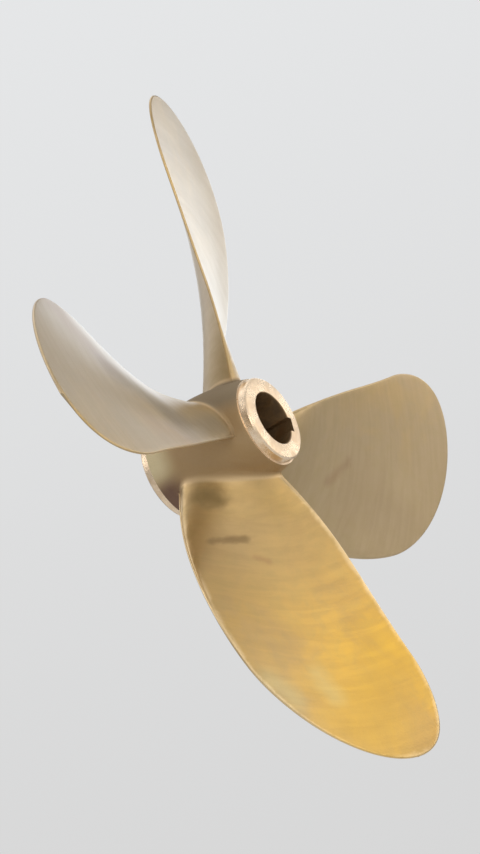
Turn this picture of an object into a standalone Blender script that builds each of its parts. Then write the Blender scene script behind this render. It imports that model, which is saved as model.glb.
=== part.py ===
"""Ship propeller: one bronze casting with four raked and skewed blades, and the two plugs in its boss.

Metres, +Z up. The shaft axis lies along Y and the aft end points to -Y. The origin is where the shaft
axis meets the plane that the blades are drawn from. The screw is right-handed: seen from astern it turns
clockwise to drive ahead, so each blade's leading edge is on its clockwise side.
"""

import math

import bmesh
import bpy
from mathutils import Matrix, Vector

# Blades
DIAMETER = 1.6
BLADE_COUNT = 4
PITCH_ROOT = 1.04
PITCH_FULL = 1.34
PITCH_TIP = 1.28
PITCH_FULL_RADIUS = 0.34
RAKE_ANGLE = math.radians(8.8)
CHORD_ROOT = 0.24
CHORD_MAX = 0.456
WIDEST_RADIUS = 0.602
ROOT_TAPER_POWER = 1.7
PITCH_EASE_POWER = 2.0
TIP_ROUNDING_POWER = 1.9
TIP_CHORD = 0.03
SKEW_ROOT = -0.028
SKEW_TIP = 0.169
SKEW_POWER = 4.0
THICKNESS_ROOT = 0.05
THICKNESS_TIP = 0.009
EDGE_THICKNESS = 0.006
FACE_SHARE_ROOT = 0.55
FACE_SHARE_TIP = 0.05
THICKEST_SHARE = 0.4
FACE_SWELL = 0.03
SWELL_REACH = 0.17
ROOT_BLUNTNESS = 2.5
ROOT_FILLET = 0.015
EDGE_FILLET_SHARE = 0.4
EDGE_ROUND_SHARE = 0.3
FILLET_CUT_ANGLE = math.radians(74)
ROOT_SINK = 0.014

# Boss, measured aft of the origin
BOSS_FORWARD = -0.156
BOSS_AFT = 0.138
BOSS_RADIUS = 0.127
BOSS_WIDEST = -0.035
COLLAR_FORWARD_RADIUS = 0.113
COLLAR_FORWARD_LENGTH = 0.02
COLLAR_AFT_RADIUS = 0.1
COLLAR_AFT_LENGTH = 0.02
COLLAR_STEP = 0.005
CHAMFER = 0.004

# Shaft bore: a taper that narrows going aft, relieved in the middle, with one keyway
BORE_AFT_RADIUS = 0.062
BORE_TAPER = 1 / 12
RELIEF_FORWARD = -0.062
RELIEF_AFT = 0.052
RELIEF_DEPTH = 0.005
KEYWAY_WIDTH = 0.034
KEYWAY_DEPTH = 0.011

# Grease plugs: a screwed plug in each end of the relieved stretch, in the gap between two blades.
# PLUG_GAP counts blade spacings from the lowest blade, and PLUG_LEAD is the length in which their line
# winds once round the boss.
PLUG_RADIUS = 0.011
PLUG_RIM_RADIUS = 0.016
PLUG_SPOT_DEPTH = 0.004
PLUG_SOCKET_RADIUS = 0.006
PLUG_SOCKET_DEPTH = 0.007
PLUG_GAP = 1.44
PLUG_LEAD = 1.78
PLUG_INSET = 0.018
SEAT_GAP = 0.0003
CUT_REACH = 0.01

BOSS_SEGMENTS = 72
PLUG_SEGMENTS = 24
BARREL_STEPS = 8
SECTION_STEPS = 10
BARREL_TRIES = 5
FILLET_STATIONS = 5
SWELL_STATIONS = 5
OUTER_STATIONS = 13
TIP_CROWDING = 1.8

TIP_RADIUS = DIAMETER / 2


def material(name, colour, metallic, roughness):
    made = bpy.data.materials.new(name)
    made.use_nodes = True
    shader = made.node_tree.nodes["Principled BSDF"]
    shader.inputs["Base Color"].default_value = (*colour, 1)
    shader.inputs["Metallic"].default_value = metallic
    shader.inputs["Roughness"].default_value = roughness
    return made


def new_object(name, bm, finish=None):
    """The mesh as an object in the scene; without a finish it is a guide that isn't rendered."""
    bmesh.ops.recalc_face_normals(bm, faces=bm.faces)
    mesh = bpy.data.meshes.new(name)
    bm.to_mesh(mesh)
    bm.free()
    made = bpy.data.objects.new(name, mesh)
    bpy.context.scene.collection.objects.link(made)
    if finish:
        mesh.materials.append(finish)
        mesh.shade_smooth()
        mesh.set_sharp_from_angle(angle=math.radians(30))
    else:
        made.hide_render = True
        made.display_type = "WIRE"
    return made


def boolean(target, tool, operation):
    cut = target.modifiers.new(f"{operation.lower()}_{tool.name}", "BOOLEAN")
    cut.operation = operation
    cut.object = tool
    cut.solver = "EXACT"


def turned(name, profile, segments, finish=None):
    """A solid of revolution about the Y axis from a closed profile of (radius, aft) points."""
    bm = bmesh.new()
    verts = [bm.verts.new((radius, -aft, 0)) for radius, aft in profile]
    edges = [bm.edges.new((a, b)) for a, b in zip(verts, verts[1:] + verts[:1])]
    centre, axis = (0, 0, 0), (0, 1, 0)
    bmesh.ops.spin(
        bm, geom=verts + edges, cent=centre, axis=axis, angle=math.tau, steps=segments, use_merge=True
    )
    return new_object(name, bm, finish)


def bore_radius(aft):
    return BORE_AFT_RADIUS + (BOSS_AFT - aft) * BORE_TAPER / 2


def barrel_radius(aft):
    """The cast barrel between the two collars: an arch that is widest a little forward of the middle."""
    forward_end = BOSS_FORWARD + COLLAR_FORWARD_LENGTH
    aft_end = BOSS_AFT - COLLAR_AFT_LENGTH
    if aft < BOSS_WIDEST:
        end, end_radius = forward_end, COLLAR_FORWARD_RADIUS + COLLAR_STEP
    else:
        end, end_radius = aft_end, COLLAR_AFT_RADIUS + COLLAR_STEP
    share = min(1, abs((aft - BOSS_WIDEST) / (end - BOSS_WIDEST)))
    return BOSS_RADIUS - (BOSS_RADIUS - end_radius) * share**2


def boss():
    forward_end = BOSS_FORWARD + COLLAR_FORWARD_LENGTH
    aft_end = BOSS_AFT - COLLAR_AFT_LENGTH
    barrel = [forward_end + (aft_end - forward_end) * i / BARREL_STEPS for i in range(BARREL_STEPS + 1)]
    outside = [
        (COLLAR_FORWARD_RADIUS - CHAMFER, BOSS_FORWARD),
        (COLLAR_FORWARD_RADIUS, BOSS_FORWARD + CHAMFER),
        (COLLAR_FORWARD_RADIUS, forward_end),
        *[(barrel_radius(aft), aft) for aft in barrel],
        (COLLAR_AFT_RADIUS, aft_end),
        (COLLAR_AFT_RADIUS, BOSS_AFT - CHAMFER),
        (COLLAR_AFT_RADIUS - CHAMFER, BOSS_AFT),
    ]
    inside = [
        (bore_radius(BOSS_AFT) + CHAMFER / 2, BOSS_AFT),
        (bore_radius(BOSS_AFT - CHAMFER / 2), BOSS_AFT - CHAMFER / 2),
        (bore_radius(RELIEF_AFT), RELIEF_AFT),
        (bore_radius(RELIEF_AFT) + RELIEF_DEPTH, RELIEF_AFT - RELIEF_DEPTH),
        (bore_radius(RELIEF_FORWARD) + RELIEF_DEPTH, RELIEF_FORWARD + RELIEF_DEPTH),
        (bore_radius(RELIEF_FORWARD), RELIEF_FORWARD),
        (bore_radius(BOSS_FORWARD + CHAMFER / 2), BOSS_FORWARD + CHAMFER / 2),
        (bore_radius(BOSS_FORWARD) + CHAMFER / 2, BOSS_FORWARD),
    ]
    bronze = material("cast_bronze", (0.62, 0.42, 0.17), 0.9, 0.42)
    return turned("propeller_casting", outside + inside, BOSS_SEGMENTS, bronze)


def chord(radius):
    if radius < WIDEST_RADIUS:
        share = (WIDEST_RADIUS - radius) / (WIDEST_RADIUS - BOSS_RADIUS)
        return CHORD_MAX - (CHORD_MAX - CHORD_ROOT) * share**ROOT_TAPER_POWER
    share = (radius - WIDEST_RADIUS) / (TIP_RADIUS - WIDEST_RADIUS)
    return max(TIP_CHORD, CHORD_MAX * math.sqrt(max(0, 1 - share**TIP_ROUNDING_POWER)))


def span_share(radius):
    """0 at the boss and 1 at the tip."""
    return max(0, (radius - BOSS_RADIUS) / (TIP_RADIUS - BOSS_RADIUS))


def pitch(radius):
    """Less at the boss, full a little way out, and slightly less again at the tip."""
    if radius < PITCH_FULL_RADIUS:
        share = (PITCH_FULL_RADIUS - max(radius, BOSS_RADIUS)) / (PITCH_FULL_RADIUS - BOSS_RADIUS)
        return PITCH_FULL - (PITCH_FULL - PITCH_ROOT) * share**PITCH_EASE_POWER
    share = (radius - PITCH_FULL_RADIUS) / (TIP_RADIUS - PITCH_FULL_RADIUS)
    return PITCH_FULL + (PITCH_TIP - PITCH_FULL) * share


def middle(radius):
    """How far a section's middle lies along its pitch line towards the trailing edge."""
    share = span_share(radius)
    return SKEW_ROOT * (1 - share) + SKEW_TIP * share**SKEW_POWER


def root_share(radius):
    """How far a section has gone over into the thick, blunt root: 0 out on the blade, 1 at the boss."""
    return max(0, 1 - max(0, radius - BOSS_RADIUS) / SWELL_REACH) ** 2


def fullness(place):
    """A section's depth along its chord: 0 at both edges, 1 at its thickest, with a round nose."""
    if place < THICKEST_SHARE:
        return math.sqrt(max(0, 1 - ((THICKEST_SHARE - place) / THICKEST_SHARE) ** 2))
    return 1 - ((place - THICKEST_SHARE) / (1 - THICKEST_SHARE)) ** 2


def wound(radius, along, off):
    """The point this far along the pitch line and this far off it towards the back, wound round the shaft."""
    angle = math.atan2(pitch(radius), math.tau * radius)
    along += middle(radius)
    turn = (along * math.cos(angle) + off * math.sin(angle)) / radius
    aft = along * math.sin(angle) - off * math.cos(angle) + radius * math.tan(RAKE_ANGLE)
    return Vector((radius * math.sin(turn), -aft, -radius * math.cos(turn)))


def flank_point(radius, turn, side, swell):
    """A point of a section: turn runs along one side of it, from the leading to the trailing edge.

    A section is an aerofoil. Towards the boss its face swells, and its leading edge turns blunt.
    """
    share = span_share(radius)
    thickness = THICKNESS_ROOT + (THICKNESS_TIP - THICKNESS_ROOT) * share
    face_share = FACE_SHARE_ROOT + (FACE_SHARE_TIP - FACE_SHARE_ROOT) * share
    part = 1 - face_share if side > 0 else face_share
    edge = min(EDGE_THICKNESS, thickness)
    power = 2 + (ROOT_BLUNTNESS * root_share(radius) if turn < math.pi / 2 else 0)
    size = (abs(math.cos(turn)) ** power + abs(math.sin(turn)) ** power) ** (1 / power)
    reach = -math.cos(turn) / size
    half = (chord(radius) - edge) / 2 + edge * EDGE_ROUND_SHARE + swell * EDGE_FILLET_SHARE
    depth = edge / 2 + (thickness - edge) * fullness((1 + reach) / 2) * part
    root_swell = 0 if side > 0 else FACE_SWELL * root_share(radius)
    depth += math.sin(turn) / size * (root_swell + swell)
    return wound(radius, reach * half, side * depth)


def section(radius, height=None, swell=0):
    """One blade section as a closed loop: along the back to the trailing edge, and back along the face.

    Given a height, every point is moved in or out until it lies that far above the barrel.
    """
    loop = []
    for side in (1, -1):
        points = []
        for step in range(SECTION_STEPS + 1):
            turn = math.pi * step / SECTION_STEPS
            point = flank_point(radius, turn, side, swell)
            if height is not None:
                for _ in range(BARREL_TRIES):
                    point = flank_point(barrel_radius(-point.y) + height, turn, side, swell)
            points.append(point)
        loop += points[::side]
    return loop


def blade_mesh():
    """The blade that hangs straight down, from inside the boss's wall to the tip."""
    foot = ROOT_FILLET * (1 - math.cos(FILLET_CUT_ANGLE))
    rings = [section(BOSS_RADIUS, -ROOT_SINK, foot)]
    for i in range(FILLET_STATIONS):
        lean = FILLET_CUT_ANGLE * (1 - i / FILLET_STATIONS)
        height, swell = ROOT_FILLET * (1 - math.sin(lean)), ROOT_FILLET * (1 - math.cos(lean))
        rings.append(section(BOSS_RADIUS, height, swell))
    low = BOSS_RADIUS + ROOT_FILLET
    high = BOSS_RADIUS + SWELL_REACH
    rings += [section(low + (high - low) * (i + 0.3) / SWELL_STATIONS) for i in range(SWELL_STATIONS)]
    for i in range(OUTER_STATIONS + 1):
        share = 1 - (1 - i / OUTER_STATIONS) ** TIP_CROWDING
        rings.append(section(high + (TIP_RADIUS - high) * share))
    bm = bmesh.new()
    rings = [[bm.verts.new(point) for point in ring] for ring in rings]
    for inner, outer in zip(rings, rings[1:]):
        for i in range(len(inner)):
            j = (i + 1) % len(inner)
            bm.faces.new((inner[i], inner[j], outer[j], outer[i]))
    bm.faces.new(rings[0])
    bm.faces.new(rings[-1])
    return bm


def add_blades(casting):
    for i in range(BLADE_COUNT):
        bm = blade_mesh()
        turn = Matrix.Rotation(math.tau * i / BLADE_COUNT, 4, "Y")
        bmesh.ops.transform(bm, matrix=turn, verts=bm.verts)
        blade = new_object(f"blade_{i + 1}_shape", bm)
        boolean(casting, blade, "UNION")


def cut_keyway(casting):
    """A slot along the +X side of the bore, as deep all along as the taper is."""
    bm = bmesh.new()
    ends = (BOSS_FORWARD - CUT_REACH, BOSS_AFT + CUT_REACH)
    corners = []
    for aft in ends:
        bottom = bore_radius(aft) + KEYWAY_DEPTH
        for x, z in ((0, -1), (0, 1), (bottom, 1), (bottom, -1)):
            corners.append(bm.verts.new((x, -aft, z * KEYWAY_WIDTH / 2)))
    for face in ((0, 1, 2, 3), (7, 6, 5, 4), (0, 4, 5, 1), (1, 5, 6, 2), (2, 6, 7, 3), (3, 7, 4, 0)):
        bm.faces.new([corners[i] for i in face])
    boolean(casting, new_object("keyway_cutter", bm), "DIFFERENCE")


def gap_angle(aft):
    """The middle of the gap between two blades, which winds round the boss with them."""
    lead = aft - BOSS_RADIUS * math.tan(RAKE_ANGLE)
    return PLUG_GAP * math.tau / BLADE_COUNT + math.tau * lead / PLUG_LEAD


def radial_frame(aft):
    """Turns a piece that stands on the Y axis so that it points out of the boss between two blades."""
    angle = gap_angle(aft)
    outwards = Vector((math.sin(angle), 0, -math.cos(angle)))
    across = Vector((0, 1, 0)).cross(outwards)
    frame = Matrix((across, outwards, across.cross(outwards))).transposed().to_4x4()
    return Matrix.Translation((0, -aft, 0)) @ frame


def add_plug(casting, name, aft, finish):
    """A flush plug with a socket, in a hole with a flat spot face that runs through to the relieved bore."""
    top = barrel_radius(aft) - PLUG_SPOT_DEPTH
    foot = bore_radius(aft) + RELIEF_DEPTH
    beyond = BOSS_RADIUS + PLUG_RIM_RADIUS
    inside = foot - RELIEF_DEPTH
    hole_radius = PLUG_RADIUS + SEAT_GAP
    hole = [(0, -beyond), (0, -inside), (hole_radius, -inside)]
    hole += [(hole_radius, -top), (PLUG_RIM_RADIUS, -top), (PLUG_RIM_RADIUS, -beyond)]
    cutter = turned(f"{name}_cutter", hole, PLUG_SEGMENTS)
    end = foot + PLUG_SPOT_DEPTH
    socket = top - PLUG_SOCKET_DEPTH
    body = [(0, -end), (PLUG_RADIUS, -end), (PLUG_RADIUS, -top)]
    body += [(PLUG_SOCKET_RADIUS, -top), (PLUG_SOCKET_RADIUS, -socket), (0, -socket)]
    plug = turned(name, body, PLUG_SEGMENTS, finish)
    for made in (cutter, plug):
        made.data.transform(radial_frame(aft))
    boolean(casting, cutter, "DIFFERENCE")


def main():
    for old in list(bpy.data.objects):
        bpy.data.objects.remove(old, do_unlink=True)
    casting = boss()
    add_blades(casting)
    cut_keyway(casting)
    brass = material("plug_brass", (0.7, 0.52, 0.25), 1.0, 0.3)
    add_plug(casting, "grease_plug_forward", RELIEF_FORWARD + PLUG_INSET, brass)
    add_plug(casting, "grease_plug_aft", RELIEF_AFT - PLUG_INSET, brass)


main()
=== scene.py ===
"""Ship propeller, cast in one piece in nickel aluminium bronze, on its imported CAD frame.

Metres, +Z up. The shaft axis is Y and the aft end points to -Y. "aft" in a name or a formula counts from
the origin towards the aft end, so it is minus Y. The first blade hangs straight down.
"""

import math

import bmesh
import bpy
from mathutils import Matrix, Quaternion, Vector


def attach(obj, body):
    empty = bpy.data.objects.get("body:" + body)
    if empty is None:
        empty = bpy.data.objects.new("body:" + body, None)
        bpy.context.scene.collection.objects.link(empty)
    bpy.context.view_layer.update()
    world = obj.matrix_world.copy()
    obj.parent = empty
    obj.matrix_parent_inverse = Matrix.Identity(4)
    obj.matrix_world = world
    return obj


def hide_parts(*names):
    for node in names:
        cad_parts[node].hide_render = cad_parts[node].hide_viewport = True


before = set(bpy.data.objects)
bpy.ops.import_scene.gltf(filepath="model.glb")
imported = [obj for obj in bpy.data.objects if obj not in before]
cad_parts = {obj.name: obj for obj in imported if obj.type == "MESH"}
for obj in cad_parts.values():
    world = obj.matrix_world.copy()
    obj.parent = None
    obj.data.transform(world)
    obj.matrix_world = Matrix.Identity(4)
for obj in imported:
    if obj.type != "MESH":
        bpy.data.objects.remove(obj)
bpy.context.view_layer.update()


# The casting: boss and four blades in one piece of nickel aluminium bronze, poured in a sand mould. The
# blades are ground by hand to their thickness and finished with a sanding disc, the two ends of the boss are
# turned in a lathe, and the bore is turned and lapped to the shaft's taper, with one slot for the key.

# The blades' outline and sections
DIAMETER = 1.6
BLADE_COUNT = 4
PITCH_ROOT = 1.04
PITCH_FULL = 1.34
PITCH_TIP = 1.28
PITCH_FULL_RADIUS = 0.34
RAKE_ANGLE = math.radians(8.8)
CHORD_ROOT = 0.24
CHORD_MAX = 0.456
WIDEST_RADIUS = 0.602
ROOT_TAPER_POWER = 1.7
TIP_ROUNDING_POWER = 1.9
SKEW_ROOT = -0.028
SKEW_TIP = 0.169
SKEW_POWER = 4.0
THICKNESS_ROOT = 0.05
THICKNESS_TIP = 0.009
EDGE_THICKNESS = 0.006
FACE_SHARE_ROOT = 0.55
FACE_SHARE_TIP = 0.05
THICKEST_SHARE = 0.4
FACE_SWELL = 0.03
SWELL_REACH = 0.17
ROOT_BLUNTNESS = 2.5
EDGE_INSET = 0.0006

# The fillet between blade and boss, which starts inside the boss so that the two join cleanly
ROOT_FILLET = 0.015
EDGE_FILLET_SHARE = 0.4
ROOT_DEPTH = 0.014
SEAM_DEPTH = 0.0012
SEAM_WIDTH = 1.08

# The boss with its two turned collars, its taper bore with a relieved middle, and its keyway
BOSS_FORWARD = -0.156
BOSS_AFT = 0.138
BOSS_RADIUS = 0.127
BOSS_WIDEST = -0.035
COLLAR_FORWARD_RADIUS = 0.113
COLLAR_AFT_RADIUS = 0.1
COLLAR_LENGTH = 0.02
COLLAR_STEP = 0.005
CHAMFER = 0.004
DEBURRING = 0.0007
BORE_AFT_RADIUS = 0.062
BORE_TAPER = 1 / 12
RELIEF_FORWARD = -0.062
RELIEF_AFT = 0.052
RELIEF_DEPTH = 0.005
KEYWAY_WIDTH = 0.034
KEYWAY_DEPTH = 0.011
KEYWAY_CORNER = 0.0015
CUT_REACH = 0.01

# The two plug holes, in the gap between two blades that follows the blades' lead round the boss
PLUG_RADIUS = 0.011
PLUG_RIM_RADIUS = 0.016
PLUG_SPOT_DEPTH = 0.004
PLUG_GAP = 1.44
PLUG_LEAD = 1.78
PLUG_INSET = 0.018
SEAT_GAP = 0.0003
PLUG_PLACES = {"forward": RELIEF_FORWARD + PLUG_INSET, "aft": RELIEF_AFT - PLUG_INSET}

# How finely the shapes are divided, and where their rings start and end
BOSS_SEGMENTS = 192
BARREL_STEPS = 36
PLUG_SEGMENTS = 48
FLANK_STEPS = 36
EDGE_STEPS = 6
FILLET_STEPS = 13
FILLET_SWEEP = math.radians(84)
SPAN_START = 0.006
SPAN_STEPS = 36
TIP_STEPS = 32
TIP_CAP_RISE = 1.99
SLOPE_STEP = 0.01
SETTLING_ROUNDS = 5
DEBURRING_STEPS = 2
KEYWAY_CORNER_STEPS = 3
MERGE_DISTANCE = 1e-6
SHARP_FROM = math.radians(25)
SMOOTH_BELOW = math.radians(32)

TIP_RADIUS = DIAMETER / 2
TAIL = BOSS_AFT - COLLAR_LENGTH
HEAD = BOSS_FORWARD + COLLAR_LENGTH


def bore_radius(aft):
    return BORE_AFT_RADIUS + (BOSS_AFT - aft) * BORE_TAPER / 2


def barrel_radius(aft):
    """The cast barrel between the two turned collars, widest a little forward of the middle."""
    end, collar = (HEAD, COLLAR_FORWARD_RADIUS) if aft < BOSS_WIDEST else (TAIL, COLLAR_AFT_RADIUS)
    share = min(1, abs((aft - BOSS_WIDEST) / (end - BOSS_WIDEST)))
    return BOSS_RADIUS - (BOSS_RADIUS - collar - COLLAR_STEP) * share**2


def span_share(radius):
    return max(0, (radius - BOSS_RADIUS) / (TIP_RADIUS - BOSS_RADIUS))


def pitch(radius):
    if radius < PITCH_FULL_RADIUS:
        share = (PITCH_FULL_RADIUS - max(radius, BOSS_RADIUS)) / (PITCH_FULL_RADIUS - BOSS_RADIUS)
        return PITCH_FULL - (PITCH_FULL - PITCH_ROOT) * share**2
    share = (radius - PITCH_FULL_RADIUS) / (TIP_RADIUS - PITCH_FULL_RADIUS)
    return PITCH_FULL + (PITCH_TIP - PITCH_FULL) * share


def chord(radius):
    if radius < WIDEST_RADIUS:
        share = (WIDEST_RADIUS - radius) / (WIDEST_RADIUS - BOSS_RADIUS)
        return CHORD_MAX - (CHORD_MAX - CHORD_ROOT) * share**ROOT_TAPER_POWER
    share = min(1, (radius - WIDEST_RADIUS) / (TIP_RADIUS - WIDEST_RADIUS))
    return CHORD_MAX * math.sqrt(1 - share**TIP_ROUNDING_POWER)


def middle(radius):
    """How far a section's middle lies along its pitch line towards the trailing edge."""
    share = span_share(radius)
    return SKEW_ROOT * (1 - share) + SKEW_TIP * share**SKEW_POWER


def fullness(place):
    """A section's depth along its chord: 0 at both edges, 1 at its thickest, with a round nose."""
    if place < THICKEST_SHARE:
        return math.sqrt(max(0, 1 - ((THICKEST_SHARE - place) / THICKEST_SHARE) ** 2))
    return 1 - ((place - THICKEST_SHARE) / (1 - THICKEST_SHARE)) ** 2


def root_share(radius):
    """How far a section has gone over into the thick, blunt root: 0 out on the blade, 1 at the boss."""
    return max(0, 1 - max(0, radius - BOSS_RADIUS) / SWELL_REACH) ** 2


def wound(radius, along, off):
    """The point this far along the pitch line and this far off it towards the back, wound round the shaft."""
    angle = math.atan2(pitch(radius), math.tau * radius)
    along += middle(radius)
    turn = (along * math.cos(angle) + off * math.sin(angle)) / radius
    aft = along * math.sin(angle) - off * math.cos(angle) + radius * math.tan(RAKE_ANGLE)
    return Vector((radius * math.sin(turn), -aft, -radius * math.cos(turn)))


def unwound(point):
    """(blade, radius, along, off) of a point: the reverse of wound, for whichever blade is nearest."""
    radius = math.hypot(point.x, point.z)
    angle = math.atan2(pitch(radius), math.tau * radius)
    rise = -point.y - radius * math.tan(RAKE_ANGLE)
    found = []
    for blade in range(BLADE_COUNT):
        turn = math.atan2(point.x, -point.z) - math.tau * blade / BLADE_COUNT
        turn = (turn + math.pi) % math.tau - math.pi
        along = radius * turn * math.cos(angle) + rise * math.sin(angle) - middle(radius)
        off = radius * turn * math.sin(angle) - rise * math.cos(angle)
        found.append((abs(off), blade, radius, along, off))
    return min(found)[1:]


# The points round one section: along the back, round the trailing edge, back along the face and round the
# leading edge. Each is (turn along the flank, side, turn round the edge). An edge's points have side 0.
SECTION = [(math.pi * i / FLANK_STEPS, 1, 0) for i in range(FLANK_STEPS + 1)]
SECTION += [(math.pi, 0, math.pi * i / EDGE_STEPS) for i in range(1, EDGE_STEPS)]
SECTION += [(math.pi * i / FLANK_STEPS, -1, 0) for i in reversed(range(FLANK_STEPS + 1))]
SECTION += [(0, 0, math.pi * i / EDGE_STEPS) for i in reversed(range(1, EDGE_STEPS))]


def edge_line(rise):
    """(radius, half chord) of the middle of the rounded edge.

    Rise is 0 at the boss, 1 at the widest section and 2 at the tip.
    """
    half_edge = EDGE_THICKNESS / 2
    if rise < 1:
        radius = BOSS_RADIUS + (WIDEST_RADIUS - BOSS_RADIUS) * rise
        return radius, chord(radius) / 2 - half_edge - EDGE_INSET
    turn = (rise - 1) * math.pi / 2
    reach = TIP_RADIUS - half_edge - EDGE_INSET - WIDEST_RADIUS
    radius = WIDEST_RADIUS + reach * math.sin(turn) ** (2 / TIP_ROUNDING_POWER)
    return radius, (CHORD_MAX / 2 - half_edge - EDGE_INSET) * max(0, math.cos(turn))


def section_point(radius, half, swell, outwards, spot):
    """A point of the section at this radius whose edges lie this far from its middle, out by the swell."""
    turn, side, edge_turn = spot
    share = span_share(radius)
    thickness = THICKNESS_ROOT + (THICKNESS_TIP - THICKNESS_ROOT) * share
    face_share = FACE_SHARE_ROOT + (FACE_SHARE_TIP - FACE_SHARE_ROOT) * share
    part = 1 - face_share if side > 0 else face_share
    root_swell = 0 if side > 0 else FACE_SWELL * root_share(radius)

    # The flank's steps lie on an oval, which the root makes blunter on the leading half.
    blunt = 2 + (ROOT_BLUNTNESS * root_share(radius) if turn < math.pi / 2 else 0)
    size = (abs(math.cos(turn)) ** blunt + abs(math.sin(turn)) ** blunt) ** (1 / blunt)
    along = -math.cos(turn) / size * (half + swell * EDGE_FILLET_SHARE)
    off = (thickness - EDGE_THICKNESS) * fullness((1 - math.cos(turn) / size) / 2) * part
    off += math.sin(turn) / size * (root_swell + swell)
    if side:
        return wound(radius, along, side * off + side * EDGE_THICKNESS / 2)
    end = math.copysign(math.sin(edge_turn) * EDGE_THICKNESS / 2, along)
    off = math.cos(edge_turn) * EDGE_THICKNESS / 2
    return wound(radius + abs(end) * outwards.y, along + end * outwards.x, off)


def blade_point(rise, height, swell, spot):
    """A point of the blade that hangs straight down. Near the root, height is measured above the barrel."""
    r0, h0 = edge_line(max(0, rise - SLOPE_STEP))
    r1, h1 = edge_line(min(TIP_CAP_RISE + SLOPE_STEP / 2, rise + SLOPE_STEP))
    outwards = Vector((r1 - r0, h0 - h1)).normalized()
    if height is None:
        radius, half = edge_line(rise)
        return section_point(radius, half, swell, outwards, spot)

    # The barrel's radius changes with where along the shaft the point lands, so a few rounds settle it.
    radius = BOSS_RADIUS + height
    for _ in range(SETTLING_ROUNDS):
        half = chord(radius) / 2 - EDGE_THICKNESS / 2 - EDGE_INSET
        point = section_point(radius, half, swell, outwards, spot)
        radius = barrel_radius(-point.y) + height
    return point


def blade_rings():
    """(rise, height above the barrel, swell of the fillet) of each ring, from inside the boss to the tip."""
    rings = [(0, -ROOT_DEPTH, ROOT_FILLET / 2), (0, -SEAM_DEPTH, ROOT_FILLET * SEAM_WIDTH)]
    for i in range(FILLET_STEPS):
        turn = FILLET_SWEEP * (1 - i / FILLET_STEPS)
        rings.append((0, ROOT_FILLET * (1 - math.sin(turn)), ROOT_FILLET * (1 - math.cos(turn))))
    start = (ROOT_FILLET + SPAN_START) / (WIDEST_RADIUS - BOSS_RADIUS)
    rings += [(start + (1 - start) * i / SPAN_STEPS, None, 0) for i in range(SPAN_STEPS)]
    rings += [(1 + (TIP_CAP_RISE - 1) * i / TIP_STEPS, None, 0) for i in range(TIP_STEPS + 1)]
    return rings


def finished(name, bm, *materials):
    """The mesh as an object in the scene; without a material it is a cutter or a shape to join on."""
    bmesh.ops.remove_doubles(bm, verts=bm.verts, dist=MERGE_DISTANCE)
    bmesh.ops.recalc_face_normals(bm, faces=bm.faces)
    mesh = bpy.data.meshes.new(name)
    bm.to_mesh(mesh)
    bm.free()
    made = bpy.data.objects.new(name, mesh)
    bpy.context.scene.collection.objects.link(made)
    for one in materials:
        mesh.materials.append(one)
    return made


def joined(target, *steps):
    """The target after each (operation, tool) in turn, with the tools taken away."""
    for operation, tool in steps:
        change = target.modifiers.new(operation, "BOOLEAN")
        change.operation = operation
        change.object = tool
        change.solver = "EXACT"
    made = bpy.data.meshes.new_from_object(target.evaluated_get(bpy.context.evaluated_depsgraph_get()))
    made.name = target.name
    target.modifiers.clear()
    target.data = made
    for _, tool in steps:
        bpy.data.objects.remove(tool)
    return target


def turned(profile, segments):
    """A solid turned about the Y axis from a closed profile of (radius, aft) points."""
    bm = bmesh.new()
    verts = [bm.verts.new((radius, -aft, 0)) for radius, aft in profile]
    edges = [bm.edges.new(pair) for pair in zip(verts, verts[1:] + verts[:1])]
    bmesh.ops.spin(
        bm,
        geom=verts + edges,
        cent=(0, 0, 0),
        axis=(0, 1, 0),
        angle=math.tau,
        steps=segments,
        use_merge=True,
    )
    bmesh.ops.remove_doubles(bm, verts=bm.verts, dist=MERGE_DISTANCE)
    bmesh.ops.recalc_face_normals(bm, faces=bm.faces)
    return bm


def round_off(bm, edges, radius, steps):
    """Rounds these edges to this radius."""
    bmesh.ops.bevel(
        bm, geom=edges, offset=radius, segments=steps, profile=0.5, affect="EDGES", material=-1
    )


def boss_shape():
    """Barrel, collars and bore, turned in one, with every sharp edge taken off by a deburring tool."""
    barrel = [HEAD + (TAIL - HEAD) * i / BARREL_STEPS for i in range(BARREL_STEPS + 1)]
    outside = [(COLLAR_FORWARD_RADIUS - CHAMFER, BOSS_FORWARD)]
    outside += [(COLLAR_FORWARD_RADIUS, BOSS_FORWARD + CHAMFER), (COLLAR_FORWARD_RADIUS, HEAD)]
    outside += [(barrel_radius(aft), aft) for aft in barrel]
    outside += [(COLLAR_AFT_RADIUS, TAIL), (COLLAR_AFT_RADIUS, BOSS_AFT - CHAMFER)]
    outside += [(COLLAR_AFT_RADIUS - CHAMFER, BOSS_AFT)]
    inside = []
    for aft, out in (
        (BOSS_AFT, CHAMFER / 2),
        (BOSS_AFT - CHAMFER / 2, 0),
        (RELIEF_AFT, 0),
        (RELIEF_AFT - RELIEF_DEPTH, RELIEF_DEPTH),
        (RELIEF_FORWARD + RELIEF_DEPTH, RELIEF_DEPTH),
        (RELIEF_FORWARD, 0),
        (BOSS_FORWARD + CHAMFER / 2, 0),
        (BOSS_FORWARD, CHAMFER / 2),
    ):
        inside.append((bore_radius(aft) + out, aft))
    bm = turned(outside + inside, BOSS_SEGMENTS)
    sharp = [e for e in bm.edges if len(e.link_faces) == 2 and e.calc_face_angle() > SHARP_FROM]
    round_off(bm, sharp, DEBURRING, DEBURRING_STEPS)
    return bm


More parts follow.
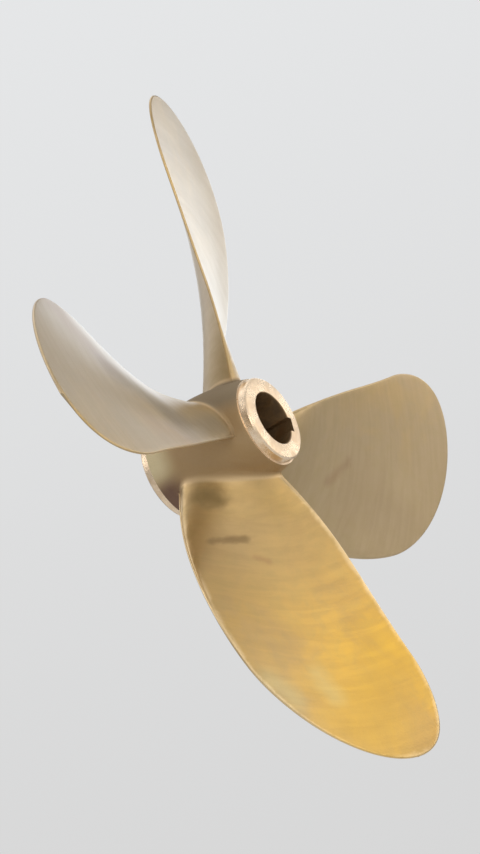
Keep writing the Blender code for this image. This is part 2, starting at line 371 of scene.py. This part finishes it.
def blade_shape(blade):
    """A round bar cut into rings, with every ring laid on its section of the blade."""
    rings = blade_rings()
    around = len(SECTION)
    bm = bmesh.new()
    bmesh.ops.create_cone(
        bm, cap_ends=True, cap_tris=True, segments=around, radius1=1, radius2=1, depth=1
    )
    lengths = [e for e in bm.edges if abs(e.verts[0].co.z - e.verts[1].co.z) > 0.5]
    bmesh.ops.subdivide_edges(bm, edges=lengths, cuts=len(rings) - 2, use_grid_fill=True)
    turned_to = Matrix.Rotation(math.tau * blade / BLADE_COUNT, 3, "Y")
    for vert in bm.verts:
        rise, height, swell = rings[round((vert.co.z + 0.5) * (len(rings) - 1))]
        if vert.co.xy.length < 0.5:
            laid = wound(TIP_RADIUS, 0, 0) if rise else wound(BOSS_RADIUS + height, 0, 0)
        else:
            spot = SECTION[round(math.atan2(vert.co.y, vert.co.x) / math.tau * around) % around]
            laid = blade_point(rise, height, swell, spot)
        vert.co = turned_to @ laid
    return bm


def keyway_shape():
    """A bar as wide as the key whose outer side follows the taper."""
    bm = bmesh.new()
    bmesh.ops.create_cube(bm, size=2)
    for vert in bm.verts:
        aft = BOSS_AFT + CUT_REACH if vert.co.y < 0 else BOSS_FORWARD - CUT_REACH
        deep = bore_radius(aft) + KEYWAY_DEPTH if vert.co.x > 0 else 0
        vert.co = Vector((deep, -aft, vert.co.z * KEYWAY_WIDTH / 2))
    corners = [e for e in bm.edges if all(v.co.x > BORE_AFT_RADIUS for v in e.verts)]
    corners = [e for e in corners if abs(e.verts[0].co.y - e.verts[1].co.y) > CUT_REACH]
    round_off(bm, corners, KEYWAY_CORNER, KEYWAY_CORNER_STEPS)
    return bm


def plug_frame(aft):
    """Turns a piece that stands on the Y axis so that it points out of the boss between two blades."""
    lead = aft - BOSS_RADIUS * math.tan(RAKE_ANGLE)
    angle = PLUG_GAP * math.tau / BLADE_COUNT + math.tau * lead / PLUG_LEAD
    outwards = Vector((math.sin(angle), 0, -math.cos(angle)))
    across = Vector((0, 1, 0)).cross(outwards)
    turn = Matrix((across, outwards, across.cross(outwards))).transposed().to_4x4()
    return Matrix.Translation((0, -aft, 0)) @ turn


def plug_hole_shape(aft):
    """The drilled hole and the flat that is spot-faced round it, as one cutter."""
    top = barrel_radius(aft) - PLUG_SPOT_DEPTH
    beyond = BOSS_RADIUS + PLUG_RIM_RADIUS
    hole = PLUG_RADIUS + SEAT_GAP
    inside = bore_radius(aft)
    profile = [(0, -beyond), (0, -inside), (hole, -inside), (hole, -top)]
    profile += [(PLUG_RIM_RADIUS, -top), (PLUG_RIM_RADIUS, -beyond)]
    bm = turned(profile, PLUG_SEGMENTS)
    bmesh.ops.transform(bm, matrix=plug_frame(aft), verts=bm.verts)
    return bm


def put(tree, socket, value):
    """Joins another node's output to the socket, or gives the socket a value of its own."""
    if isinstance(value, bpy.types.NodeSocket):
        tree.links.new(value, socket)
    else:
        socket.default_value = (*value, 1) if socket.type == "RGBA" else value


def add_node(tree, kind, inputs=None, **settings):
    """One node with these settings and inputs."""
    made = tree.nodes.new(kind)
    for name, value in settings.items():
        setattr(made, name, value)
    for name, value in (inputs or {}).items():
        put(tree, made.inputs[name], value)
    return made


def calc(tree, operation, *values):
    """The result of a Math node."""
    made = tree.nodes.new("ShaderNodeMath")
    made.operation = operation
    for socket, value in zip(made.inputs, values):
        put(tree, socket, value)
    return made.outputs[0]


def product(tree, first, *others):
    """All the values multiplied, from left to right."""
    for one in others:
        first = calc(tree, "MULTIPLY", first, one)
    return first


def raised(tree, value, *shares):
    """The value with each (mask, amount) in turn added to it."""
    for mask, amount in shares:
        value = calc(tree, "MULTIPLY_ADD", mask, amount, value)
    return value


def between(tree, value, low, high, to_low=0.0, to_high=1.0):
    """The value carried smoothly from one range to another."""
    made = add_node(
        tree,
        "ShaderNodeMapRange",
        {"Value": value, "From Min": low, "From Max": high, "To Min": to_low, "To Max": to_high},
        interpolation_type="SMOOTHSTEP",
    )
    return made.outputs["Result"]


def blend(tree, share, first, second):
    """The colour that goes from the first to the second as the share goes from 0 to 1."""
    made = tree.nodes.new("ShaderNodeMix")
    made.data_type = "RGBA"
    factor, colour_a, colour_b, colour_result = 0, 6, 7, 2
    put(tree, made.inputs[factor], share)
    put(tree, made.inputs[colour_a], first)
    put(tree, made.inputs[colour_b], second)
    return made.outputs[colour_result]


def layered(tree, colour, *layers):
    """The colour under each (mask, strength, tint) in turn."""
    for mask, strength, tint in layers:
        colour = blend(tree, product(tree, mask, strength), colour, tint)
    return colour


def noise(tree, place, scale, detail=4.0, roughness=0.55, distortion=0.0):
    """Clouds of values round 0.5, as many to a metre as the scale says."""
    inputs = {"Vector": place, "Scale": scale, "Detail": detail}
    inputs.update({"Roughness": roughness, "Distortion": distortion})
    return add_node(tree, "ShaderNodeTexNoise", inputs).outputs["Fac"]


def new_group(name, inputs, outputs):
    """(group, its inputs, its output node), with every socket a plain number."""
    group = bpy.data.node_groups.new(name, "ShaderNodeTree")
    for one in inputs:
        group.interface.new_socket(name=one, in_out="INPUT", socket_type="NodeSocketFloat")
    for one in outputs:
        group.interface.new_socket(name=one, in_out="OUTPUT", socket_type="NodeSocketFloat")
    return group, group.nodes.new("NodeGroupInput").outputs, group.nodes.new("NodeGroupOutput")


def object_place(tree):
    return tree.nodes.new("ShaderNodeTexCoord").outputs["Object"]


def shaft_place(tree):
    """(distance from the shaft, angle round it, place along it). The angle's seam is between two blades."""
    x, y, z = add_node(tree, "ShaderNodeSeparateXYZ", {"Vector": object_place(tree)}).outputs
    radius = calc(tree, "SQRT", raised(tree, product(tree, x, x), (z, z)))
    angle = calc(tree, "ARCTAN2", calc(tree, "ADD", x, z), calc(tree, "SUBTRACT", x, z))
    return radius, angle, y


def vector_calc(tree, operation, *values, output="Vector", scale=None):
    """The result of a Vector Math node."""
    made = tree.nodes.new("ShaderNodeVectorMath")
    made.operation = operation
    for socket, value in zip(made.inputs, values):
        put(tree, socket, value)
    if scale:
        tree.links.new(scale, made.inputs["Scale"])
    return made.outputs[output]


def stroke(tree, start, end, width):
    """1 on the line between two (x, z) places and 0 about this far away from it, with ragged sides."""
    run = Vector((end[0] - start[0], 0, end[1] - start[1]))
    place = vector_calc(tree, "MULTIPLY", object_place(tree), (1, 0, 1))
    place = vector_calc(tree, "SUBTRACT", place, (start[0], 0, start[1]))
    share = vector_calc(tree, "DOT_PRODUCT", place, run / run.length_squared, output="Value")
    share = add_node(tree, "ShaderNodeClamp", {"Value": share}).outputs[0]
    near = vector_calc(tree, "SCALE", tuple(run), scale=share)
    away = vector_calc(tree, "LENGTH", vector_calc(tree, "SUBTRACT", place, near), output="Value")
    ragged = calc(tree, "SUBTRACT", noise(tree, object_place(tree), 0.6 / width, 4.0), 0.5)
    return between(tree, raised(tree, away, (ragged, 1.1 * width)), 1.1 * width, 0.0)


def tarnish_group():
    """Broad patches and small specks of oxide, with no direction."""
    group, given, made = new_group("tarnish", ["Patch Size"], ["Patches", "Cloud", "Specks"])
    place = object_place(group)
    scale = calc(group, "DIVIDE", 1.0, given["Patch Size"])
    broad = noise(group, place, scale, 6.0, 0.6, 0.5)
    cloud = noise(group, place, product(group, scale, 0.37), 2.0, 0.5, 0.2)
    specks = noise(group, place, product(group, scale, 21.0), 3.0, 0.6)
    group.links.new(between(group, broad, 0.38, 0.66), made.inputs["Patches"])
    group.links.new(between(group, cloud, 0.35, 0.65), made.inputs["Cloud"])
    group.links.new(between(group, specks, 0.62, 0.78), made.inputs["Specks"])
    return group


def grinding_group():
    """Fine scratches and broad passes of a sanding disc that is swept round the shaft, over slow waves."""
    group, given, made = new_group("grinding marks", ["Line Spacing"], ["Scratches", "Passes", "Waves"])
    radius, angle, y = shaft_place(group)
    rate = calc(group, "DIVIDE", 1.0, given["Line Spacing"])

    def stretched(outwards, round_shaft):
        """A place with this many steps to a metre outwards and to a radian round the shaft."""
        place = {"X": product(group, radius, outwards), "Y": product(group, angle, round_shaft), "Z": y}
        return add_node(group, "ShaderNodeCombineXYZ", place).outputs[0]

    swept = stretched(rate, 9.0)
    crossed = stretched(14.0, product(group, rate, 0.3))
    share = between(group, noise(group, object_place(group), 5.0, 2.0), 0.42, 0.58)
    scratches = product(group, noise(group, swept, 1.0, 3.0, 0.7), share)
    other_share = calc(group, "SUBTRACT", 1.0, share)
    scratches = raised(group, scratches, (noise(group, crossed, 1.0, 3.0, 0.7), other_share))
    group.links.new(scratches, made.inputs["Scratches"])
    broad = noise(group, stretched(55.0, 3.2), 1.0, 3.0, 0.6, 0.4)
    group.links.new(between(group, broad, 0.35, 0.65), made.inputs["Passes"])
    group.links.new(noise(group, object_place(group), 13.0, 1.0, 0.4), made.inputs["Waves"])
    return group


def lathe_group():
    """Rings left by a turning tool, on flat ends and on round sides alike."""
    group, given, made = new_group("lathe rings", ["Feed"], ["Rings"])
    radius, angle, y = shaft_place(group)
    run = calc(group, "DIVIDE", calc(group, "ADD", radius, y), given["Feed"])
    uneven = add_node(group, "ShaderNodeCombineXYZ", {"X": run, "Y": product(group, angle, 0.6)})
    rings = calc(group, "SINE", product(group, run, math.tau))
    mixed = raised(group, rings, (noise(group, uneven.outputs[0], 0.7, 2.0), 1.6))
    group.links.new(mixed, made.inputs["Rings"])
    return group


TARNISH = tarnish_group()
GRINDING = grinding_group()
LATHE = lathe_group()


def use_group(tree, group, **values):
    """The outputs of a copy of the group that is given these values."""
    made = tree.nodes.new("ShaderNodeGroup")
    made.node_tree = group
    for name, value in values.items():
        made.inputs[name.replace("_", " ")].default_value = value
    return made.outputs


def new_material(name):
    """(material, its tree, its shader)"""
    made = bpy.data.materials.new(name)
    made.use_nodes = True
    return made, made.node_tree, made.node_tree.nodes["Principled BSDF"]


def feed(tree, shader, **values):
    """Joins nodes to the shader's sockets, or gives a socket one value for the whole surface."""
    for name, value in values.items():
        put(tree, shader.inputs[name.replace("_", " ")], value)


def bump(tree, height, distance, before=None):
    """The normal after this height is laid over the bumps before it."""
    made = add_node(tree, "ShaderNodeBump", {"Height": height, "Distance": distance, "Strength": 1.0})
    if before:
        tree.links.new(before, made.inputs["Normal"])
    return made.outputs["Normal"]


def object_normal_y(tree):
    normal = tree.nodes.new("ShaderNodeTexCoord").outputs["Normal"]
    return add_node(tree, "ShaderNodeSeparateXYZ", {"Vector": normal}).outputs["Y"]


# The bronze where it is ground, cast, oxidised, rubbed and dirty, and the tones of its painted light and
# shade
GOLDEN = (0.80, 0.475, 0.055)
GOLDEN_CLOUDED = (0.74, 0.445, 0.07)
OXIDE_BROWN = (0.58, 0.33, 0.09)
INNER_BROWN = (0.60, 0.41, 0.18)
SHADED_BLADE_TONE = (0.52, 0.385, 0.215)
OLIVE_PATCH = (0.45, 0.34, 0.13)
SANDED = (0.40, 0.29, 0.12)
AS_CAST = (0.42, 0.28, 0.14)
BARREL_SHADE_TONE = (0.20, 0.17, 0.12)
PAINTED_LIT_TONE = (0.74, 0.63, 0.38)
PAINTED_UNDERSIDE_SHADE = (0.16, 0.085, 0.07)
FILLET_HIGHLIGHT = (0.80, 0.60, 0.36)
SPECK_BROWN = (0.22, 0.15, 0.07)
RIM_WORN_AND_HIGHLIT = (0.88, 0.67, 0.38)

# How far in from a blade's edge the rim is worn bright and painted with a highlight, and how unevenly
RIM_FULL = 0.005
RIM_REACH = 0.019
RIM_UNEVEN = 0.006

# The radius inside which the blades go browner, where they are brownest, and how unevenly
INNER_REACH = 0.56
INNER_FULL = 0.22
INNER_UNEVEN = 0.06

# How high the marks of grinding and casting stand
WAVE_HEIGHT = 0.0012
PASS_HEIGHT = 0.0001
SCRATCH_HEIGHT = 0.00014
GRAIN_HEIGHT = 0.0009

# The marks on the blades' aft faces. Each is (start, end, width, strength, colour), with its two ends in x
# and z. The first table holds grime and, at the left blade's root and along its upper side, painted shade;
# these also take the shine away. The second holds a painted highlight low on the lower blade and two pale
# spots, which keep the shine.
GRIME_AND_SHADE = (
    ((-0.112, -0.250), (-0.058, -0.256), 0.013, 0.55, (0.24, 0.15, 0.06)),
    ((-0.090, -0.136), (-0.080, -0.158), 0.026, 0.75, (0.24, 0.16, 0.055)),
    ((-0.050, -0.302), (-0.030, -0.316), 0.012, 0.25, (0.40, 0.18, 0.09)),
    # Painted shade at the left blade's root.
    ((-0.350, -0.090), (-0.170, -0.045), 0.085, 0.70, (0.22, 0.17, 0.11)),
    ((-0.480, 0.022), (-0.350, -0.055), 0.075, 0.60, (0.28, 0.23, 0.17)),
    ((-0.460, -0.140), (-0.370, -0.155), 0.070, 0.35, (0.42, 0.30, 0.24)),
    # Painted shade along the left blade's upper side, where it also dims the shine.
    ((-0.575, 0.180), (-0.490, 0.060), 0.100, 0.35, (0.50, 0.38, 0.36)),
    ((0.386, 0.006), (0.332, -0.040), 0.020, 0.40, (0.36, 0.22, 0.12)),
    ((0.590, -0.110), (0.430, -0.060), 0.130, 0.25, (0.36, 0.26, 0.15)),
)
HIGHLIGHT_AND_PALE_SPOTS = (
    # Painted highlight: a more orange patch low on the right of the lower blade.
    ((0.045, -0.715), (0.155, -0.575), 0.160, 0.65, (0.76, 0.45, 0.020)),
    ((-0.022, -0.590), (-0.004, -0.640), 0.040, 0.30, (0.66, 0.60, 0.30)),
    ((-0.142, -0.606), (-0.108, -0.650), 0.045, 0.35, (0.58, 0.55, 0.31)),
)


def marked(tree, colour, marks):
    """(colour with the marks on it, the mask of each mark). Only faces that look aft take them."""
    on_face = between(tree, object_normal_y(tree), -0.1, -0.4)
    masks = []
    for start, end, width, strength, stain in marks:
        masks.append(product(tree, on_face, strength, stroke(tree, start, end, width)))
        colour = blend(tree, masks[-1], colour, stain)
    return colour, masks


def ground_bronze():
    """Blades and barrel: golden where ground, browner with oxide, rough as cast, bright rims, painted light
    and shade.
    """
    made, tree, shader = new_material("ground_bronze")
    oxide = use_group(tree, TARNISH, Patch_Size=0.16)
    small = use_group(tree, TARNISH, Patch_Size=0.035)
    marks = use_group(tree, GRINDING, Line_Spacing=0.0011)
    ground = add_node(tree, "ShaderNodeAttribute", attribute_name="ground").outputs["Fac"]
    edge = add_node(tree, "ShaderNodeAttribute", attribute_name="edge_distance").outputs["Fac"]
    blade_shade = add_node(tree, "ShaderNodeAttribute", attribute_name="blade_shade").outputs["Fac"]
    radius, _, y = shaft_place(tree)
    x, _, z = add_node(tree, "ShaderNodeSeparateXYZ", {"Vector": object_place(tree)}).outputs

    # The rims are worn bright and carry a painted highlight, dimmed on the blades with painted shade, the
    # sanding passes end where the cast skin starts, and the feet carry a painted highlight along the root
    # fillets.
    rim_wear_and_highlight = between(tree, raised(tree, edge, (small["Patches"], RIM_UNEVEN)), RIM_REACH, RIM_FULL)
    rim_wear_and_highlight = product(tree, rim_wear_and_highlight, between(tree, blade_shade, 0.5, 0.7, 1.0, 0.2))
    # Painted shade: the right, upper and left blades and every leading half turn duller, mottled by the oxide
    # patches.
    blade_shade = raised(tree, blade_shade, (calc(tree, "SUBTRACT", oxide["Patches"], 0.5), 0.2))
    blade_shade = add_node(tree, "ShaderNodeClamp", {"Value": blade_shade}).outputs[0]
    swept = product(tree, marks["Passes"], ground)
    cast = calc(tree, "SUBTRACT", 1.0, ground)
    # Painted highlight: a pale band where the grinder's work ends at the foot of each root fillet.
    foot = product(tree, ground, cast, 4.0)
    inner = between(tree, raised(tree, radius, (oxide["Patches"], INNER_UNEVEN)), INNER_REACH, INNER_FULL)

    # On the barrel by the forward collar, painted light makes the upper side pale and less metallic, and
    # painted shade darkens the underside; painted shade also darkens a patch on the upper -X side, which is
    # rougher there.
    forward = product(tree, between(tree, y, 0.05, 0.115), cast)
    lit_top_paint = product(tree, forward, between(tree, z, -0.085, -0.03))
    shaded_underside_paint = product(tree, forward, between(tree, z, -0.05, -0.085))
    barrel_shade_patch = product(tree, between(tree, x, 0.03, -0.05), between(tree, z, -0.01, 0.05), cast)
    barrel_shade_patch = product(tree, barrel_shade_patch, between(tree, y, 0.09, 0.03))

    colour = layered(
        tree,
        blend(tree, oxide["Cloud"], GOLDEN, GOLDEN_CLOUDED),
        (oxide["Patches"], 0.35, OXIDE_BROWN),
        (inner, 0.8, INNER_BROWN),
        (blade_shade, 1.0, SHADED_BLADE_TONE),
        (small["Patches"], 0.18, OLIVE_PATCH),
        (swept, 0.10, SANDED),
        (cast, 0.85, AS_CAST),
        (barrel_shade_patch, 0.7, BARREL_SHADE_TONE),
        (lit_top_paint, 0.85, PAINTED_LIT_TONE),
        (shaded_underside_paint, 0.8, PAINTED_UNDERSIDE_SHADE),
        (foot, 0.5, FILLET_HIGHLIGHT),
        (small["Specks"], 0.4, SPECK_BROWN),
        (rim_wear_and_highlight, 0.65, RIM_WORN_AND_HIGHLIT),
    )
    colour, _ = marked(tree, colour, HIGHLIGHT_AND_PALE_SPOTS)
    colour, grime_and_shade_masks = marked(tree, colour, GRIME_AND_SHADE)
    # Grime and painted shade together take the shine away.
    dirt_and_shade = barrel_shade_patch
    for mask in grime_and_shade_masks:
        dirt_and_shade = calc(tree, "MAXIMUM", dirt_and_shade, mask)

    rough = raised(
        tree,
        0.38,
        (oxide["Patches"], 0.05),
        (cast, 0.16),
        (marks["Scratches"], 0.10),
        (swept, 0.07),
        (rim_wear_and_highlight, -0.10),
        (dirt_and_shade, 0.25),
    )
    metal = raised(tree, 1.0, (product(tree, cast, oxide["Patches"]), -0.5), (lit_top_paint, -0.6))
    metal = product(tree, metal, raised(tree, 1.0, (dirt_and_shade, -0.6)))
    grain = product(tree, noise(tree, object_place(tree), 260.0, 4.0, 0.6), cast)
    normal = bump(tree, marks["Waves"], WAVE_HEIGHT)
    normal = bump(tree, swept, PASS_HEIGHT, normal)
    normal = bump(tree, marks["Scratches"], SCRATCH_HEIGHT, normal)
    normal = bump(tree, grain, GRAIN_HEIGHT, normal)
    coat = product(tree, ground, between(tree, radius, 0.14, 0.34, 0.3, 0.9))
    coat = product(tree, coat, calc(tree, "SUBTRACT", 1.0, dirt_and_shade))
    feed(tree, shader, Base_Color=colour, Metallic=metal, Roughness=rough, Normal=normal)
    feed(tree, shader, Coat_Weight=coat, Coat_Roughness=0.3)
    return made


TURNED_BRIGHT = (0.94, 0.75, 0.54)
TURNED_DULLED = (0.80, 0.60, 0.40)
TURNED_SPECK = (0.35, 0.22, 0.11)
TURNED_RING_HEIGHT = 0.00003


def turned_bronze():
    """Collars and end faces: bright turned metal with rings and finger-dulled patches."""
    made, tree, shader = new_material("turned_bronze")
    oxide = use_group(tree, TARNISH, Patch_Size=0.05)
    rings = use_group(tree, LATHE, Feed=0.0009)["Rings"]
    colour = blend(tree, oxide["Patches"], TURNED_BRIGHT, TURNED_DULLED)
    colour = layered(tree, colour, (oxide["Specks"], 0.5, TURNED_SPECK))
    rough = raised(tree, 0.24, (oxide["Patches"], 0.12))
    normal = bump(tree, rings, TURNED_RING_HEIGHT)
    feed(tree, shader, Base_Color=colour, Metallic=1.0, Roughness=rough, Normal=normal)
    return made


BORE_BROWN = (0.42, 0.27, 0.13)
BORE_GREASED = (0.16, 0.10, 0.05)
BORE_RING_HEIGHT = 0.00004


def bore_bronze():
    """The bore and keyway: lapped metal gone brown under old grease."""
    made, tree, shader = new_material("bore_bronze")
    oxide = use_group(tree, TARNISH, Patch_Size=0.06)
    rings = use_group(tree, LATHE, Feed=0.0014)["Rings"]
    colour = blend(tree, oxide["Patches"], BORE_BROWN, BORE_GREASED)
    rough = raised(tree, 0.32, (oxide["Patches"], 0.2))
    metal = raised(tree, 0.95, (oxide["Patches"], -0.4))
    normal = bump(tree, rings, BORE_RING_HEIGHT)
    feed(tree, shader, Base_Color=colour, Metallic=metal, Roughness=rough, Normal=normal)
    return made


def near_plug(point, reach):
    """Whether a point lies in a plug's hole or on the flat that is cut round it."""
    for aft in PLUG_PLACES.values():
        x, y, z = plug_frame(aft).inverted() @ point
        if y > 0 and math.hypot(x, z) < reach:
            return True
    return False


# How near its limit a turned face's middle may lie, how deep in the skin a plug's flat starts, and how far
# outside the taper the bore's finish reaches, past the keyway's bottom
CLOSE = 1e-4
BELOW_SKIN = 0.0008
BEYOND_KEYWAY = 0.004


def finish_of(face):
    """0 for the ground and cast surfaces, 1 for turned ones and 2 for the bore and keyway."""
    aft = -face.center.y
    radius = math.hypot(face.center.x, face.center.z)
    if near_plug(face.center, PLUG_RIM_RADIUS + CLOSE) and radius < barrel_radius(aft) - BELOW_SKIN:
        return 1
    bore_reach = bore_radius(aft) + KEYWAY_DEPTH + BEYOND_KEYWAY
    if BOSS_FORWARD + CLOSE < aft < BOSS_AFT - CLOSE and radius < bore_reach:
        return 2
    if aft < HEAD + CLOSE and radius < COLLAR_FORWARD_RADIUS + COLLAR_STEP - CLOSE:
        return 1
    if aft > TAIL - CLOSE and radius < COLLAR_AFT_RADIUS + COLLAR_STEP - CLOSE:
        return 1
    return 0


# How much painted shade darkens the lower, right, upper and left blades, how much more up to their leading
# edges, and over which heights above the barrel the grinder's work starts
BLADE_SHADE_PAINT = (0.0, 0.8, 0.7, 0.8)
LEADING_SHADE_PAINT = 0.5
GRINDER_STOPS = 0.001
GRINDER_RUN = 0.014
SHORTEST_CHORD = 0.1
NO_EDGE = 1.0


def mark_surface(mesh):
    """Gives each point how far the grinder went over it, how much painted shade it takes and how far the
    blade's edge is.
    """
    ground = mesh.attributes.new("ground", "FLOAT", "POINT")
    blade_shade = mesh.attributes.new("blade_shade", "FLOAT", "POINT")
    edge_distance = mesh.attributes.new("edge_distance", "FLOAT", "POINT")
    for i, vert in enumerate(mesh.vertices):
        blade, radius, along, _ = unwound(vert.co)
        height = radius - barrel_radius(-vert.co.y)
        share = min(1, max(0, (height - GRINDER_STOPS) / GRINDER_RUN))
        ground.data[i].value = share * share * (3 - 2 * share)
        lead = min(1, max(0, 0.5 - along / max(SHORTEST_CHORD, chord(radius))))
        blade_shade.data[i].value = BLADE_SHADE_PAINT[blade] + LEADING_SHADE_PAINT * lead
        inside = max(0, min(chord(radius) / 2 - abs(along), TIP_RADIUS - radius))
        edge_distance.data[i].value = inside if height > ROOT_FILLET / 2 else NO_EDGE


casting = finished("bronze_casting", boss_shape(), ground_bronze(), turned_bronze(), bore_bronze())
steps = [("UNION", finished(f"blade_{i}", blade_shape(i))) for i in range(BLADE_COUNT)]
steps.append(("DIFFERENCE", finished("keyway", keyway_shape())))
steps += [("DIFFERENCE", finished(f"hole_{end}", plug_hole_shape(aft))) for end, aft in PLUG_PLACES.items()]
joined(casting, *steps)
for face in casting.data.polygons:
    face.material_index = finish_of(face)
mark_surface(casting.data)
casting.data.shade_smooth()
casting.data.set_sharp_from_angle(angle=SMOOTH_BELOW)
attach(casting, "root")
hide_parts("propeller_casting")


# The two grease plugs: short screwed plugs of turned brass, each with a hexagon socket, seated flush in a
# flat cut into the barrel. Through them the relieved middle of the bore is packed with grease.

PLUG_SOCKET_RADIUS = 0.006
PLUG_SOCKET_DEPTH = 0.007
PLUG_SOCKET_SIDES = 6
PLUG_ROUNDING = 0.0008
PLUG_ROUNDING_STEPS = 3
BRASS_BRIGHT = (0.80, 0.60, 0.28)
BRASS_BROWNED = (0.52, 0.36, 0.15)
BRASS_GRAIN_HEIGHT = 0.00004


def plug_brass():
    """Turned brass with a fine grain, browned in patches by grease."""
    made, tree, shader = new_material("plug_brass")
    oxide = use_group(tree, TARNISH, Patch_Size=0.012)
    colour = blend(tree, oxide["Patches"], BRASS_BRIGHT, BRASS_BROWNED)
    rough = raised(tree, 0.25, (oxide["Patches"], 0.18))
    grain = noise(tree, object_place(tree), 900.0, 3.0, 0.6)
    normal = bump(tree, grain, BRASS_GRAIN_HEIGHT)
    feed(tree, shader, Base_Color=colour, Metallic=1.0, Roughness=rough, Normal=normal)
    return made


def bar(radius, low, high, sides, top_rounding=0.0):
    """A bar that stands on the Y axis between two heights."""
    bm = bmesh.new()
    bmesh.ops.create_cone(
        bm, cap_ends=True, segments=sides, radius1=radius, radius2=radius, depth=high - low
    )
    if top_rounding:
        rim = [e for e in bm.edges if all(v.co.z > 0 for v in e.verts)]
        round_off(bm, rim, top_rounding, PLUG_ROUNDING_STEPS)
    stand = Matrix.Translation((0, (low + high) / 2, 0)) @ Matrix.Rotation(-math.pi / 2, 4, "X")
    bmesh.ops.transform(bm, matrix=stand, verts=bm.verts)
    return bm


brass = plug_brass()
for end, aft in PLUG_PLACES.items():
    top = barrel_radius(aft) - PLUG_SPOT_DEPTH
    foot = bore_radius(aft) + RELIEF_DEPTH + PLUG_SPOT_DEPTH
    body = bar(PLUG_RADIUS, foot, top, PLUG_SEGMENTS, PLUG_ROUNDING)
    plug = finished(f"brass_plug_{end}", body, brass)
    low, high = top - PLUG_SOCKET_DEPTH, top + PLUG_SOCKET_DEPTH
    hexagon = finished(f"socket_{end}", bar(PLUG_SOCKET_RADIUS, low, high, PLUG_SOCKET_SIDES))
    joined(plug, ("DIFFERENCE", hexagon))
    plug.data.transform(plug_frame(aft))
    plug.data.shade_smooth()
    plug.data.set_sharp_from_angle(angle=SMOOTH_BELOW)
    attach(plug, "root")
    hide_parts(f"grease_plug_{end}")


# The studio: a plain floor of painted concrete well below the propeller, which hangs free, a pale surround
# that meets the floor without a line, and soft boxes of light that give the metal the light and shade that
# it has in the photograph.

FLOOR_HEIGHT = -4.5
FLOOR_SIZE = 400.0
FLOOR_PALE = (0.86, 0.86, 0.85)
FLOOR_PALER = (0.90, 0.90, 0.89)

# What the metal mirrors is grey at the sides and bright overhead.
MIRRORED_LOW = (0.26, 0.26, 0.26)
MIRRORED_HIGH = (0.36, 0.37, 0.39)
MIRRORED_OVERHEAD = (1.30, 1.30, 1.30)

# What the camera sees behind the propeller has the floor's grey at the horizon and is paler above.
SEEN_AT_HORIZON = (0.57, 0.575, 0.58)
SEEN_ABOVE = (0.68, 0.68, 0.68)
SEEN_OVERHEAD = (0.80, 0.81, 0.82)


def pale_floor():
    """Grey-white paint, faintly clouded."""
    made, tree, shader = new_material("pale_floor")
    cloud = noise(tree, object_place(tree), 0.6, 3.0)
    colour = blend(tree, cloud, FLOOR_PALE, FLOOR_PALER)
    feed(tree, shader, Base_Color=colour, Roughness=0.8)
    return made


bm = bmesh.new()
bmesh.ops.create_grid(bm, x_segments=1, y_segments=1, size=FLOOR_SIZE / 2)
bmesh.ops.translate(bm, vec=(0, 0, FLOOR_HEIGHT), verts=bm.verts)
finished("floor", bm, pale_floor())

world = bpy.data.worlds.new("studio")
world.use_nodes = True
bpy.context.scene.world = world
sky = world.node_tree
background = sky.nodes["Background"]
direction = sky.nodes.new("ShaderNodeTexCoord").outputs["Generated"]
height = add_node(sky, "ShaderNodeSeparateXYZ", {"Vector": direction}).outputs["Z"]
mirrored = blend(sky, between(sky, height, -0.3, 0.9), MIRRORED_LOW, MIRRORED_HIGH)
mirrored = blend(sky, between(sky, height, 0.70, 0.94), mirrored, MIRRORED_OVERHEAD)
seen = blend(sky, between(sky, height, 0.0, 0.22), SEEN_AT_HORIZON, SEEN_ABOVE)
seen = blend(sky, between(sky, height, 0.15, 0.75), seen, SEEN_OVERHEAD)
camera_ray = sky.nodes.new("ShaderNodeLightPath").outputs["Is Camera Ray"]
sky.links.new(blend(sky, camera_ray, mirrored, seen), background.inputs["Color"])
background.inputs["Strength"].default_value = 1.0


def soft_light(name, place, size, power, colour):
    """A square soft box that faces the propeller."""
    lamp = bpy.data.lights.new(name, "AREA")
    lamp.shape = "SQUARE"
    lamp.size = size
    lamp.energy = power
    lamp.color = colour
    made = bpy.data.objects.new(name, lamp)
    made.location = place
    made.rotation_mode = "QUATERNION"
    made.rotation_quaternion = (-Vector(place)).to_track_quat("-Z", "Y")
    made.visible_camera = False
    bpy.context.scene.collection.objects.link(made)


soft_light("ceiling_aft", (1.4, -3.2, 0.7), 2.6, 23, (1.0, 0.95, 0.86))
soft_light("ceiling_near", (-1.2, -2.95, 1.3), 2.6, 15, (1.0, 0.95, 0.88))
soft_light("aft_window", (2.9, -1.8, 1.25), 1.2, 7, (1.0, 0.96, 0.90))
soft_light("far_opening", (3.2, 0.9, 1.5), 3.0, 46, (0.84, 0.92, 1.0))
soft_light("near_opening", (-3.3, -2.2, -0.3), 2.0, 28, (1.0, 0.97, 0.92))
soft_light("left_opening", (-2.8, 1.8, 1.6), 2.0, 26, (1.0, 0.97, 0.95))
soft_light("fore_opening", (0.9, 3.1, 1.8), 2.0, 7, (0.97, 0.98, 1.0))


# The camera looks up from below and off the aft end, as in the photograph, and is rolled by the tilt at
# which the propeller hangs there. It stands nearer, so that the propeller fills the frame.

CAMERA_PLACE = Vector((-3.444, -2.110, -1.857))
AIM = Vector((0.0111, -0.0417, 0.0268))
ROLL = math.radians(14.85)
LENS = 84.0

camera_data = bpy.data.cameras.new("camera")
camera_data.lens = LENS
camera = bpy.data.objects.new("camera", camera_data)
bpy.context.scene.collection.objects.link(camera)
camera.location = CAMERA_PLACE
camera.rotation_mode = "QUATERNION"
look = (AIM - CAMERA_PLACE).to_track_quat("-Z", "Y")
camera.rotation_quaternion = look @ Quaternion((0, 0, 1), -ROLL)
bpy.context.scene.camera = camera
bpy.context.scene.view_settings.view_transform = "Standard"
